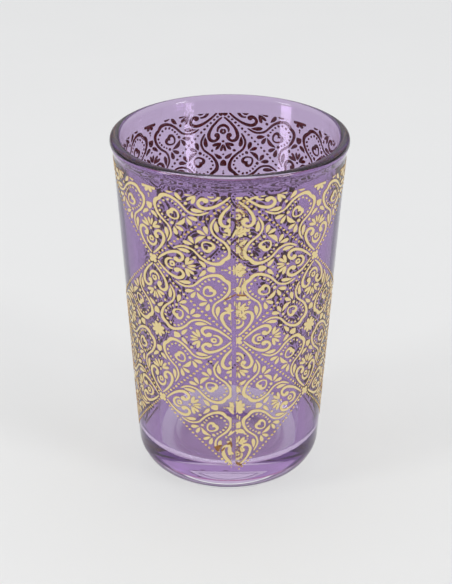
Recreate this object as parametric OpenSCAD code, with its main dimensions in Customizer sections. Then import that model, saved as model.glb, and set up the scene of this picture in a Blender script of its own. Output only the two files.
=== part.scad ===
// Tea glass: a pressed clear tumbler, a thin colour coat sprayed on its outside,
// and a gold print in a lattice of upright lozenges laid over the coat.
// The origin is on the table, on the glass's axis. Lengths are in millimetres.

/* [Glass] */
// Height of the glass
glass_h = 98; // [88:1:112]
// Outer diameter over the rolled rim
rim_d = 62.3; // [58:0.1:70]
// Thickness of the rolled rim
rim_t = 2.8; // [2.2:0.1:3.4]
// How far the rolled rim stands proud of the wall
rim_proud = 0.55; // [0.2:0.05:0.9]
// Height over which the wall swells into the rolled rim
rim_swell_h = 2.8; // [1.6:0.1:3.4]
// Outer diameter of the straight wall, carried down to the table
foot_d = 49.7; // [46:0.1:54]
// Thickness of the wall beside the cavity's floor
wall_low_t = 5.4; // [3:0.1:7]
// Radius of the heel between the wall and the table
heel_r = 9.2; // [7:0.2:11]
// Thickness of the base under the cavity
base_t = 9.2; // [7:0.1:12]
// Radius of the corner between the cavity's floor and wall
floor_corner_r = 3.6; // [2:0.2:8]
// Width of the flat ring that the glass stands on
stand_ring_w = 2.2; // [1.2:0.2:4]
// Depth of the hollow under the base
punt_h = 1.2; // [0.4:0.1:2.4]

/* [Colour coat] */
// Thickness of the sprayed colour coat
coat_t = 0.08; // [0.04:0.01:0.12]
// How far the coat reaches down onto the heel, below the heel's upper end
coat_reach = 2.6; // [1:0.1:4]
// Angle up the rolled rim's round, from its widest line, at which the coat ends
coat_lip_deg = 38; // [10:1:60]

/* [Gold print] */
// Thickness of the gold print
gold_t = 0.08; // [0.04:0.01:0.12]
// Drop from the rim's swell to the print's upper edge, where the sheet was cut
print_drop = 1.15; // [0.2:0.05:4]
// How far above that edge the lattice's top row of crossings would lie
crossing_rise = 0.3; // [0:0.1:1]
// Height of the lattice's lowest crossings above the table
print_low_z = 10.6; // [9:0.1:13]
// Lozenges around the glass
lozenges = 4; // [3:1:5]
// Turn of the axis where the sheet's two ends meet, from the front of the glass
seam_turn = 3.7; // [-180:0.1:180]
// Angle left bare beside that axis, where the sheet's left end stops short of it
bare_deg = 3.2; // [2:0.1:6]

/* [Gold motifs] */
// Dots along one side of a lozenge
border_dots = 22; // [12:1:24]
// Diameter of a border dot
border_dot_d = 0.64; // [0.4:0.02:0.9]
// Diameter of the small dots in a scroll and around a rosette
fine_dot_d = 0.62; // [0.4:0.02:0.8]
// Greatest width of a drawn line
line_w = 0.95; // [0.6:0.05:1.1]
// Width of a leaf or a drop
leaf_w = 0.85; // [0.5:0.05:1]
// Diameter of the ring in a heart
ring_d = 1.5; // [1:0.1:1.8]
// Diameter of the ring's eye
ring_eye_d = 0.5; // [0.3:0.05:0.8]
// Width of the seed in a scroll
seed_w = 3.4; // [2.6:0.1:3.6]
// Width of a star at a crossing
star_w = 2.9; // [2:0.1:3]
// Width of a rosette
rosette_w = 4.1; // [3:0.1:4.4]

/* [Hidden] */

// Facets around the glass, and around a dot
round_fn = 128;
dot_fn = 16;

// Steps along an arc of the outline
arc_steps = 16;

// Outline of the glass
rim_r = rim_d / 2;
lip_r = rim_t / 2;
lip_z = glass_h - lip_r;
wall_top_r = rim_r - rim_proud;
taper = atan((wall_top_r - foot_d / 2) / glass_h);
swell_z = lip_z - rim_swell_h;
heel_x = wall_r(heel_r) - heel_r / cos(taper);
coat_from_deg = -asin(coat_reach / heel_r);
punt_r = heel_x - stand_ring_w;
punt_ball_r = (punt_r * punt_r + punt_h * punt_h) / (2 * punt_h);
mouth_r = rim_r - rim_t;
cavity_low_r = wall_r(base_t) - wall_low_t;
cavity_taper = atan((mouth_r - cavity_low_r) / (lip_z - base_t));
corner_x = cavity_r(base_t + floor_corner_r) - floor_corner_r / cos(cavity_taper);

// The print's sheet: columns and rows of crossings are half a lozenge apart
rows = 4;
columns = 2 * lozenges;
print_top_z = swell_z - print_drop;
crossing_top_z = print_top_z + crossing_rise;
row_h = (crossing_top_z - print_low_z) / rows;
column_deg = 360 / columns;
last_column = columns - bare_deg / column_deg;
side_drop = row_h / sqrt(2);

// Slack, in rows or columns, for a motif whose middle lies on the sheet's own edge
edge_slack_share = 0.01;

// How deep a motif's prism reaches to either side of the wall before the skin trims it
prism_reach_share = 0.12;

// Lozenges that carry ornament, as [column, row] of their centres; those left out are plain,
// and so is the lowest whole one at the back
full_lozenges = concat(
  [for (column = [0 : 4 : columns]) [column, 1]],
  [for (column = [1 : 2 : columns]) [column, 2]],
  [for (column = [0 : 2 : columns]) if (column != lozenges) [column, 3]]
);
half_lozenges = [for (column = [1 : 2 : columns]) [column, 0]];
lozenge_list = concat(half_lozenges, full_lozenges);

// Where the first and last border dots lie along a lozenge's side
border_start_share = 0.067;

// Heart: one line from the lozenge's corner, as [along, aside, width];
// lengths are shares of a row's height and widths are shares of the drawn line
heart_shares = [
  [0.089, 0.021, 0.45], [0.17, 0.087, 0.55], [0.24, 0.139, 0.7], [0.312, 0.177, 0.9], [0.38, 0.186, 1],
  [0.428, 0.158, 0.85], [0.434, 0.112, 0.7], [0.402, 0.069, 0.8], [0.352, 0.07, 1.35], [0.319, 0.106, 0.3]
];
bow_shares = [
  [0.286, 0.074, 0.45], [0.213, 0.055, 0.7], [0.181, 0, 0.85], [0.213, -0.055, 0.7], [0.286, -0.074, 0.45]
];
ring_share = 0.253;

// Fan at the heart's mouth: a dot, then three split leaves and their dots
fan_dot_share = 0.419;
fan_leaf_shares = [[0.448, 0.036, 0.521, 0.116], [0.459, 0, 0.557, 0], [0.448, -0.036, 0.521, -0.116]];
fan_leaf_w_share = 1.9;
fan_tip_dot_shares = [[0.541, 0.133], [0.59, 0], [0.541, -0.133]];

// Scroll: half of its line, from the crown outwards, as [beside the side's middle, in from it, width]
scroll_shares = [
  [0, 0.482, 0.88], [0.064, 0.484, 0.9], [0.113, 0.451, 0.8], [0.147, 0.392, 0.65],
  [0.16, 0.305, 0.5], [0.159, 0.215, 0.45], [0.183, 0.138, 0.45], [0.241, 0.081, 0.5], [0.331, 0.046, 0.35]
];
scroll_dot_shares = [
  [0.033, 0.421], [0.09, 0.403], [0.114, 0.36], [0.12, 0.315], [0.118, 0.272], [0.11, 0.232]
];
scroll_end_dot_share = 0.099;
scroll_end_dot_rise_share = 0.19;

// Seed: outline and eye, as shares of the seed's width, about its middle
seed_rise_share = 0.277;
seed_shares = [
  [0, 0.42], [0.33, 0.4], [0.49, 0.1], [0.3, -0.34], [0, -0.5], [-0.3, -0.34], [-0.49, 0.1], [-0.33, 0.4]
];
seed_eye_shares = [[0, 0], [0.14, 0.16], [0.27, 0.02], [0, -0.32], [-0.27, 0.02], [-0.14, 0.16]];

// Spray at the scroll's mouth: a wide pair of leaves that meet, then two slim leaves on each side
pair_shares = [
  [-0.085, 0.168], [-0.062, 0.112], [-0.022, 0.072], [0.022, 0.072], [0.062, 0.112], [0.085, 0.168],
  [0.042, 0.15], [0, 0.122], [-0.042, 0.15]
];
spray_leaf_shares = [[0.094, 0.148, 0.062, 0.036], [0.127, 0.153, 0.17, 0.045]];

// Leaf that lies in each end of a scroll, from its blunt end to its point
end_leaf_shares = [[0.52, 0.214, 0.372, 0.23]];

// Three drops between two scrolls, from the lozenge's corner
drop_leaf_shares = [[0.645, 0.022, 0.574, 0.118]];
drop_bud_shares = [[0.66, 0], [0.684, 0.04], [0.732, 0.04], [0.745, 0], [0.732, -0.04], [0.684, -0.04]];

// Outline of a leaf from root to tip, and of a split leaf, as [along, aside] shares
leaf_shares = [[0, 0], [0.55, 0.48], [0.94, 0.32], [0.94, -0.32], [0.55, -0.48]];
split_leaf_shares = [[0, 0], [0.45, 0.3], [1, 0.5], [0.72, 0], [1, -0.5], [0.45, -0.3]];

// Lobes of a star and a rosette: how deep their notches lie, and the round of one lobe between two notches,
// as [turn, reach]
star_lobes = 4;
star_notch_share = 0.34;
rosette_notch_share = 0.56;
rosette_lobes = 8;
lobe_shares = [[0.26, 0.88], [0.5, 1], [0.74, 0.88]];
rosette_dot_shares = [0.118, 0.152];

// Radius of the straight wall, outside and inside, at a height
function wall_r(z) = foot_d / 2 + (wall_top_r - foot_d / 2) * z / glass_h;
function cavity_r(z) = cavity_low_r + (mouth_r - cavity_low_r) * (z - base_t) / (lip_z - base_t);

// Points of an arc, less any that are skipped at its start
function arc(x, z, r, from, to, skip = 0) = [
  for (i = [skip : arc_steps])
    let(a = from + (to - from) * i / arc_steps)
    [x + r * cos(a), z + r * sin(a)]
];

// The wall's swell into the rolled rim, from the straight wall up to the lip, off the glass by lift
function swell(lift) = [
  for (i = [1 : arc_steps])
    let(
      part = i / arc_steps,
      z = swell_z + rim_swell_h * part
    )
    [wall_r(z) + (rim_r - wall_r(lip_z)) * (1 - cos(180 * part)) / 2 + lift, z]
];

// The coated stretch of the outside, from the heel up over the rim's widest line, off the glass by lift
function coated(lift) = concat(
  arc(heel_x, heel_r, heel_r + lift, coat_from_deg, -taper),
  [[wall_r(swell_z) + lift / cos(taper), swell_z]],
  swell(lift),
  arc(rim_r - lip_r, lip_z, lip_r + lift, 0, coat_lip_deg, 1)
);

function reversed(list) = [for (i = [len(list) - 1 : -1 : 0]) list[i]];

// A point of the sheet turned about its lozenge's centre
function turned(p, a) = [p[0] * cos(a) - p[1] * sin(a), p[0] * sin(a) + p[1] * cos(a)];
function middle(list) = [for (k = [0, 1]) (max([for (p = list) p[k]]) + min([for (p = list) p[k]])) / 2];

// Place of a column and a row on the glass, and the sheet's stretch around it there
function column_angle(column) = seam_turn + column * column_deg - 90;
function row_z(row) = crossing_top_z - row * row_h;
function girth(z) = wall_r(z) * column_deg * PI / 180 / row_h;

// One edge of a drawn line whose points hold a place and a width, and the line's whole outline
function edge(p, side) = [
  for (i = [0 : len(p) - 1])
    let(
      run = p[min(i + 1, len(p) - 1)] - p[max(i - 1, 0)],
      l = norm([run[0], run[1]])
    )
    [p[i][0] - side * run[1] / l * p[i][2] / 2, p[i][1] + side * run[0] / l * p[i][2] / 2]
];
function ribbon(p) = concat(edge(p, 1), reversed(edge(p, -1)));
function drawn(shares) = ribbon([for (s = shares) [s[0] * row_h, s[1] * row_h, s[2] * line_w]]);

// Outlines in the sheet, about the lozenge's centre: with a corner to the left, or a side below
function from_corner(list) = [for (p = list) [p[0] - row_h, p[1]]];
function from_side(list) = [for (p = list) [p[0], p[1] - side_drop]];
function flipped(list) = [for (p = reversed(list)) [p[0], -p[1]]];
function swapped(list) = [for (p = reversed(list)) [-p[0], p[1]]];
function sized(list, size) = [for (p = list) p * size];

// An outline of [along, aside] shares, laid from a root to a tip
function laid(outline, ends, w) =
  let(
    root = [ends[0], ends[1]] * row_h,
    run = [ends[2], ends[3]] * row_h - root,
    across = [-run[1], run[0]] / norm(run)
  )
  [for (s = outline) root + run * s[0] + across * s[1] * w];

// An outline of equal lobes about its middle
function lobed(lobes, r, notch_share) = [
  for (i = [0 : lobes - 1], s = concat([[0, notch_share]], lobe_shares))
    let(a = (i - 0.5 + s[0]) * 360 / lobes)
    [r * s[1] * cos(a), r * s[1] * sin(a)]
];

// Children on the wall, their own Z pointing straight out of it
module on_wall(angle, z, lift) {
  rotate([0, 0, angle])
    translate([wall_r(z) + lift / cos(taper), 0, z])
      rotate([0, taper, 0])
        rotate([90, 0, 90])
          children();
}

// Skin that all gold lies in, cut level at the top of the print
module gold_skin() {
  low_z = row_z(rows);
  inner = coat_t / cos(taper);
  outer = (coat_t + gold_t) / cos(taper);
  rotate_extrude($fn = round_fn)
    polygon([
      [wall_r(low_z) + inner, low_z],
      [wall_r(low_z) + outer, low_z],
      [wall_r(print_top_z) + outer, print_top_z],
      [wall_r(print_top_z) + inner, print_top_z]
    ]);
}

// An outline of the sheet with an optional eye, laid on the glass where it lies inside the print.
// A long one follows the wall's curve, and so does one that the sheet's upper edge cuts.
// A short one is a flat leaf that lies on the coat.
module gilded(lozenge, turn, outline, eye = [], long = false) {
  flat = [for (p = concat(outline, eye)) turned(p, turn)];
  centre = middle(flat);
  column = lozenge[0] + centre[0] / row_h;
  row = lozenge[1] - centre[1] / row_h;
  z = row_z(row);
  rise = max([for (p = flat) p[1]]) - centre[1];
  reach = prism_reach_share * row_h;
  points = [for (p = flat) [(p[0] - centre[0]) * girth(z), (p[1] - centre[1]) / cos(taper)]];
  paths = [
    [for (i = [0 : len(outline) - 1]) i],
    [for (i = [len(outline) : 1 : len(flat) - 1]) i]
  ];
  if (column > -edge_slack_share && column < last_column && row > -edge_slack_share) {
    if (long || z + rise > print_top_z)
      intersection() {
        gold_skin();
        on_wall(column_angle(column), z, 0)
          translate([0, 0, -reach])
            linear_extrude(2 * reach)
              polygon(points, len(eye) > 0 ? paths : [paths[0]]);
      }
    else
      on_wall(column_angle(column), z, coat_t)
        linear_extrude(gold_t)
          polygon(points, len(eye) > 0 ? paths : [paths[0]]);
  }
}

// A round dot of the sheet, or a ring with an eye
module gilded_dot(lozenge, turn, place, d, eye_d = 0) {
  flat = turned(place, turn);
  column = lozenge[0] + flat[0] / row_h;
  z = row_z(lozenge[1] - flat[1] / row_h);
  if (column > -edge_slack_share && column < last_column && z < print_top_z - d / 2)
    on_wall(column_angle(column), z, coat_t)
      difference() {
        cylinder(d = d, h = gold_t, $fn = dot_fn);
        if (eye_d > 0)
          translate([0, 0, -gold_t])
            cylinder(d = eye_d, h = 3 * gold_t, $fn = dot_fn);
      }
}

module glass_body() {
  punt_deg = asin(punt_r / punt_ball_r);
  color("lightcyan", 0.35)
    rotate_extrude($fn = round_fn)
      polygon(concat(
        [[0, punt_h]],
        arc(0, punt_h - punt_ball_r, punt_ball_r, 90, 90 - punt_deg, 1),
        reversed(arc(heel_x, heel_r, heel_r, coat_from_deg, -90, 1)),
        coated(0),
        arc(rim_r - lip_r, lip_z, lip_r, coat_lip_deg, 180, 1),
        reversed(arc(corner_x, base_t + floor_corner_r, floor_corner_r, -90, -cavity_taper)),
        [[0, base_t]]
      ));
}

module colour_coat() {
  color("mediumpurple", 0.6)
    rotate_extrude($fn = round_fn)
      polygon(concat(coated(coat_t), reversed(coated(0))));
}

module gold_border_dots() {
  color("gold")
    for (row = [0 : rows - 1], column = [0 : columns - 1], i = [0 : border_dots - 1]) {
      share = border_start_share + (1 - 2 * border_start_share) * i / (border_dots - 1);
      rise = (row + column) % 2 == 0 ? share : 1 - share;
      gilded_dot([column, row], 0, [share * row_h, -rise * row_h], border_dot_d);
    }
}

module gold_stars() {
  color("gold")
    for (row = [0 : rows - 1], column = [0 : columns - 1])
      if ((row + column) % 2 == 0)
        gilded([column, row], 45, lobed(star_lobes, star_w / 2, star_notch_share));
}

module gold_hearts() {
  line = drawn(heart_shares);
  color("gold")
    for (lozenge = lozenge_list, turn = [0 : 90 : 270], outline = [line, flipped(line)])
      gilded(lozenge, turn, from_corner(outline), long = true);
}

module gold_heart_bows() {
  color("gold")
    for (lozenge = lozenge_list, turn = [0 : 90 : 270])
      gilded(lozenge, turn, from_corner(drawn(bow_shares)), long = true);
}

module gold_heart_rings() {
  color("gold")
    for (lozenge = lozenge_list, turn = [0 : 90 : 270])
      gilded_dot(lozenge, turn, [(ring_share - 1) * row_h, 0], ring_d, ring_eye_d);
}

module gold_fans() {
  color("gold")
    for (lozenge = lozenge_list, turn = [0 : 90 : 270]) {
      gilded_dot(lozenge, turn, [(fan_dot_share - 1) * row_h, 0], fine_dot_d);
      for (ends = fan_leaf_shares)
        gilded(lozenge, turn, from_corner(laid(split_leaf_shares, ends, leaf_w * fan_leaf_w_share)));
      for (place = fan_tip_dot_shares)
        gilded_dot(lozenge, turn, [(place[0] - 1) * row_h, place[1] * row_h], fine_dot_d);
    }
}

module gold_scrolls() {
  half = scroll_shares;
  whole = concat(
    [for (i = [len(half) - 1 : -1 : 1]) [-half[i][0], half[i][1], half[i][2]]],
    half
  );
  color("gold")
    for (lozenge = lozenge_list, turn = [45 : 90 : 315])
      gilded(lozenge, turn, from_side(drawn(whole)), long = true);
}

module gold_scroll_dots() {
  color("gold")
    for (lozenge = lozenge_list, turn = [45 : 90 : 315], side = [-1, 1]) {
      for (place = scroll_dot_shares)
        gilded_dot(lozenge, turn, [side * place[0] * row_h, place[1] * row_h - side_drop], fine_dot_d);
      gilded_dot(
        lozenge, turn,
        [side * scroll_end_dot_share * row_h, scroll_end_dot_rise_share * row_h - side_drop],
        border_dot_d
      );
    }
}

module gold_seeds() {
  place = [0, seed_rise_share * row_h];
  outline = [for (s = seed_shares) s * seed_w + place];
  eye = [for (s = seed_eye_shares) s * seed_w + place];
  color("gold")
    for (lozenge = lozenge_list, turn = [45 : 90 : 315])
      gilded(lozenge, turn, from_side(outline), from_side(eye));
}

module gold_sprays() {
  color("gold")
    for (lozenge = lozenge_list, turn = [45 : 90 : 315]) {
      gilded(lozenge, turn, from_side(sized(pair_shares, row_h)));
      for (ends = spray_leaf_shares) {
        leaf = from_side(laid(leaf_shares, ends, leaf_w));
        gilded(lozenge, turn, leaf);
        gilded(lozenge, turn, swapped(leaf));
      }
    }
}

module gold_drops() {
  color("gold")
    for (lozenge = lozenge_list, turn = [0 : 90 : 270]) {
      gilded(lozenge, turn, from_corner(sized(drop_bud_shares, row_h)));
      for (ends = concat(drop_leaf_shares, end_leaf_shares)) {
        leaf = from_corner(laid(leaf_shares, ends, leaf_w));
        gilded(lozenge, turn, leaf);
        gilded(lozenge, turn, flipped(leaf));
      }
    }
}

module gold_rosettes() {
  color("gold")
    for (lozenge = lozenge_list) {
      gilded(lozenge, 0, lobed(rosette_lobes, rosette_w / 2, rosette_notch_share), long = true);
      for (turn = [0 : 90 : 270], share = rosette_dot_shares)
        gilded_dot(lozenge, turn, [share * row_h, 0], fine_dot_d);
    }
}

glass_body();
colour_coat();
gold_border_dots();
gold_stars();
gold_hearts();
gold_heart_bows();
gold_heart_rings();
gold_fans();
gold_scrolls();
gold_scroll_dots();
gold_seeds();
gold_sprays();
gold_drops();
gold_rosettes();
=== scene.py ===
"""Tea glass: a pressed clear tumbler with a thin purple coat and a gold print in a lattice of lozenges."""

import math
import random

import bpy
from bpy.props import FloatProperty, FloatVectorProperty, IntProperty, PointerProperty
from mathutils import Euler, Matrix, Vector, noise


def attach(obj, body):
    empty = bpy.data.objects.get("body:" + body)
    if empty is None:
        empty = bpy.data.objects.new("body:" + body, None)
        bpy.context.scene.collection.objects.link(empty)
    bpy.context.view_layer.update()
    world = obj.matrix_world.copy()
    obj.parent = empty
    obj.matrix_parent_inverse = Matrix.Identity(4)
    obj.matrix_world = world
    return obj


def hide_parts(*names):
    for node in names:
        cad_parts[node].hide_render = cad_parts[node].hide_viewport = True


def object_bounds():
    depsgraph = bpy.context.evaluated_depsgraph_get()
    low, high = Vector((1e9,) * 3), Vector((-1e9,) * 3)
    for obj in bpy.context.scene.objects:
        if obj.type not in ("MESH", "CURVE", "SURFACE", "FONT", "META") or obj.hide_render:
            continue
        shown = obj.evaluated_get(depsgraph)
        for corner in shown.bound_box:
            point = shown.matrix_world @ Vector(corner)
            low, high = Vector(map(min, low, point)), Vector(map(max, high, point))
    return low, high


bl_info = {
    "name": "Tea glass with a gold print",
    "version": (1, 0, 0),
    "blender": (4, 5, 0),
    "location": "3D View > Sidebar > Tea glass",
    "description": "Makes a pressed tea glass, its purple coat, its gold print and the table that it stands on",
    "category": "Add Mesh",
}

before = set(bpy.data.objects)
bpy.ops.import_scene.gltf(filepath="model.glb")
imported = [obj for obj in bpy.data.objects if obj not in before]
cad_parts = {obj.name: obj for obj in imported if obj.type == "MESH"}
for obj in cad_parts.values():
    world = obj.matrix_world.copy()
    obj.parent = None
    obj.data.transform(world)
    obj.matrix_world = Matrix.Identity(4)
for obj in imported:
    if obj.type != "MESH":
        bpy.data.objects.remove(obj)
CAD_LOW, CAD_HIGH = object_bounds()
MM = 0.001
GLASS_IOR = 1.5
# How often light is mirrored, or passes a bonded face, before it counts as lost and a painted glow takes its place
MOST_MIRRORED, MOST_PASSED = 3.5, 6.5


# Sizes and colours

def length(name, text, millimetres):
    """A length in the sidebar, given in millimetres."""
    return FloatProperty(
        name=name, description=text, default=millimetres * MM, min=0, soft_max=4 * millimetres * MM, precision=5,
        unit="LENGTH", subtype="DISTANCE",
    )


def degrees(name, text, value):
    """An angle in the sidebar, given in degrees."""
    return FloatProperty(name=name, description=text, default=math.radians(value), unit="ROTATION", subtype="ANGLE")


def colour(name, text, red, green, blue):
    """A colour in the sidebar."""
    return FloatVectorProperty(
        name=name, description=text, default=(red, green, blue), min=0, max=1, size=3, subtype="COLOR"
    )


class GlassSizes(bpy.types.PropertyGroup):
    """Sizes of the pressed glass and of the coat on it."""

    height: length("Height", "Height of the glass", CAD_HIGH.z / MM)
    rim_d: length("Rim diameter", "Outer diameter over the rolled rim", 62.3)
    rim_t: length("Rim thickness", "Thickness of the rolled rim", 2.8)
    rim_proud: length("Rim proud", "How far the rolled rim stands proud of the wall", 0.55)
    swell_h: length("Rim swell", "Height over which the wall swells into the rim", 2.8)
    foot_d: length("Foot diameter", "Outer diameter of the straight wall, carried down to the table", 49.7)
    wall_low_t: length("Low wall", "Thickness of the wall beside the cavity's floor", 5.4)
    heel_r: length("Heel radius", "Radius of the heel between the wall and the table", 9.2)
    base_t: length("Base thickness", "Thickness of the base under the cavity", 9.2)
    floor_r: length("Floor corner", "Radius of the corner between the cavity's floor and wall", 3.6)
    ring_w: length("Standing ring", "Width of the flat ring that the glass stands on", 2.2)
    punt_h: length("Punt", "Depth of the hollow under the base", 1.2)
    coat_t: length("Coat thickness", "Thickness of the sprayed coat", 0.08)
    coat_reach: length("Coat reach", "How far the coat reaches down onto the heel", 2.6)
    coat_lip: degrees("Coat on the lip", "Angle up the rolled rim, from its widest line, at which the coat ends", 38)


class PrintSizes(bpy.types.PropertyGroup):
    """Sizes and layout of the gold print."""

    thickness: length("Print thickness", "Thickness of the gold above the coat", 0.08)
    drop: length("Print drop", "Drop from the rim's swell to the print's upper edge", 1.15)
    rise: length("Lattice rise", "How far above that edge the top crossings would lie", 0.3)
    low: length("Lowest crossings", "Height of the lattice's lowest crossings above the table", 10.6)
    lozenges: IntProperty(name="Lozenges", description="Lozenges around the glass", default=4, min=3, max=6)
    seam_turn: degrees("Seam turn", "Turn of the axis where the sheet's two ends meet, from the front", 3.7)
    bare: degrees("Bare strip", "How far the sheet's left end stops short of that axis", 3.2)
    border_dots: IntProperty(name="Border dots", description="Dots along one side", default=22, min=8, max=40)
    waver: length("Waver", "How far the printed edges waver", 0.05)


class Finishes(bpy.types.PropertyGroup):
    """Colours of the glass, the coat and the print."""

    glass: colour("Glass", "Tint of the clear glass", 0.93, 0.965, 0.95)
    coat: colour("Coat", "Share of light that passes the coat once", 0.615, 0.475, 0.71)
    coat_edge: colour("Coat edge", "The same along the coat's thick edges", 0.66, 0.26, 0.5)
    gold: colour("Gold", "Colour of the bright gold", 1.0, 0.84, 0.36)
    # Also the colour towards which painted shade darkens the gold at the top of the print
    dull_and_shaded_gold: colour("Dull gold", "Colour of the gold where it is thin", 0.72, 0.47, 0.16)
    ground: colour("Ground", "Colour of the red-brown ink where the gold is rubbed off", 0.4, 0.13, 0.04)
    # At the print's sloped rims this darker colour is partly the ink and partly painted shade for the relief
    edge: colour("Edge", "The ink's colour at the print's edges and where the seam lost its gold", 0.4, 0.18, 0.06)
    underside: colour("Underside", "The ink's colour, seen from inside through the coat", 0.09, 0.001, 0.003)
    table: colour("Table", "Colour of the table", 0.83, 0.835, 0.84)


class Studio(bpy.types.PropertyGroup):
    """Camera and lights."""

    camera_far: length("Camera distance", "Distance of the camera from the middle of the glass", 402.33)
    camera_high: degrees("Camera height", "Angle of the camera above the horizon", 27.03)
    roll: degrees("Camera roll", "Turn of the camera about the way it looks", 0.235)
    lens: FloatProperty(name="Lens", description="Focal length in millimetres", default=90.36, min=10)
    world: FloatProperty(name="Room light", description="Strength of the room's light", default=0.87, min=0)
    lamp: FloatProperty(name="Soft lamps", description="Brightness of the two soft lamps", default=7.0, min=0)
    strip: FloatProperty(name="Strip lamps", description="Brightness of the two low strips", default=11.0, min=0)


GROUPS = {"glass_sizes": GlassSizes, "print_sizes": PrintSizes, "finishes": Finishes, "studio": Studio}


# Shader maths

class Term:
    """A number or a colour in a node tree. Arithmetic on terms adds Math nodes."""

    def __init__(self, tree, socket):
        self.tree, self.socket = tree, socket

    def math(self, operation, *values):
        """One Math node."""
        return self.tree.add("ShaderNodeMath", dict(enumerate(values)), {"operation": operation})

    def __add__(self, other):
        return self.math("ADD", self, other)

    def __sub__(self, other):
        return self.math("SUBTRACT", self, other)

    def __rsub__(self, other):
        return self.math("SUBTRACT", other, self)

    def __mul__(self, other):
        return self.math("MULTIPLY", self, other)

    def __truediv__(self, other):
        return self.math("DIVIDE", self, other)

    __radd__, __rmul__ = __add__, __mul__

    def most(self, other):
        """The larger of two terms."""
        return self.math("MAXIMUM", self, other)

    def clamped(self):
        """The term, held between 0 and 1."""
        return self.math("MINIMUM", self.most(0.0), 1.0)

    def above(self, value):
        """1 where the term is more than the value, or else 0."""
        return self.math("GREATER_THAN", self, value)

    def below(self, value):
        """1 where the term is less than the value, or else 0."""
        return self.math("LESS_THAN", self, value)

    def between(self, low, high):
        """0 where the term is at low, 1 where it is at high, and smooth between them."""
        return self.tree.add(
            "ShaderNodeMapRange", {0: self, 1: low, 2: high, 3: 0.0, 4: 1.0}, {"interpolation_type": "SMOOTHSTEP"}
        )


class Finish:
    """A material or a world, and the nodes in its tree."""

    def __init__(self, owner):
        self.owner = owner
        owner.use_nodes = True
        self.tree = owner.node_tree
        self.tree.nodes.clear()

    def add(self, kind, values=None, settings=None, output=0):
        """A node of that type, with its sockets' values or links and its settings, as a term."""
        node = self.tree.nodes.new(kind)
        for name, value in (settings or {}).items():
            setattr(node, name, value)
        for name, value in (values or {}).items():
            socket = node.inputs[name]
            if isinstance(value, Term):
                self.tree.links.new(value.socket, socket)
            elif socket.type == "RGBA" and len(value) == 3:
                socket.default_value = (*value, 1)
            else:
                socket.default_value = value
        return Term(self, node.outputs[output]) if node.outputs else None

    def blend(self, factor, first, second):
        """Two colours mixed."""
        return self.add("ShaderNodeMix", {0: factor, 6: first, 7: second}, {"data_type": "RGBA"}, output=2)

    def mixed(self, factor, first, second):
        """Two shaders mixed."""
        return self.add("ShaderNodeMixShader", {0: factor, 1: first, 2: second})

    def place(self):
        """The point on the piece, in metres, in the glass's own frame."""
        return self.add("ShaderNodeTexCoord", output=3)

    def speckle(self, per_mm, detail=2.0):
        """Noise from 0 to 1 with so many grains to the millimetre."""
        return self.add("ShaderNodeTexNoise", {"Vector": self.place(), "Scale": per_mm / MM, "Detail": detail})

    def height(self):
        """Height above the table in millimetres."""
        return self.add("ShaderNodeSeparateXYZ", {0: self.place()}, output=2) / MM

    def near(self, point, reach):
        """1 at a point in millimetres, falling to 0 at that reach from it."""
        away = self.add(
            "ShaderNodeVectorMath", {0: self.place(), 1: [c * MM for c in point]}, {"operation": "DISTANCE"}, output=1
        )
        return (1 - away / (reach * MM)).clamped()

    def path(self, name):
        """One of the facts about the ray that meets the surface."""
        return self.add("ShaderNodeLightPath", output=name)

    def table_light(self):
        """1 for light on its way to and from the table, which passes the glass almost untouched."""
        return (self.path("Is Shadow Ray") + self.path("Is Diffuse Ray")).clamped()

    def glow_for_lost_light(self, shader):
        """The shader, with a painted glow of even purple light in place of light that was turned back in the thick
        base too often to follow.
        """
        turned = self.path("Glossy Depth").above(MOST_MIRRORED)
        passed = self.path("Transparent Depth").above(MOST_PASSED)
        low = 1 - self.height().between(60, 85)
        # Painted glow: an emission that stands in for the lost light, below 60 to 85 mm up
        glow = self.add("ShaderNodeEmission", {"Color": (0.5, 0.42, 0.55), "Strength": 1.0})
        return self.mixed(turned.most(passed) * low, shader, glow)

    def close(self, shader):
        """Joins the shader to the output, and gives back what it colours."""
        kinds = {bpy.types.World: "World", bpy.types.Material: "Material"}
        kind = "ShaderNodeOutput" + kinds.get(type(self.owner), "Light")
        self.add(kind, {"Surface": shader})
        return self.owner


def material(name):
    """A new material with an empty node tree."""
    return Finish(bpy.data.materials.new(name))


def clear_glass(tint):
    """Pressed soda glass: clear, with the slightest swim in its surface, and open to lamp light."""
    made = material("clear_glass")
    swim = made.add("ShaderNodeBump", {"Strength": 0.25, "Distance": 0.02 * MM, "Height": made.speckle(0.09, 1.0)})
    glass = made.add("ShaderNodeBsdfPrincipled", {
        "Base Color": tint, "Roughness": 0.0, "IOR": GLASS_IOR, "Transmission Weight": 1.0, "Normal": swim,
    })
    lit = made.add("ShaderNodeBsdfTransparent", {"Color": (0.985, 0.985, 0.985)})
    return made.close(made.mixed(made.table_light(), made.glow_for_lost_light(glass), lit))


def bonded_face():
    """The face where coat and glass are one, which bends and mirrors nothing."""
    made = material("bonded_face")
    clear = made.add("ShaderNodeBsdfTransparent", {"Color": (1, 1, 1)})
    return made.close(made.glow_for_lost_light(clear))


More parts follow.
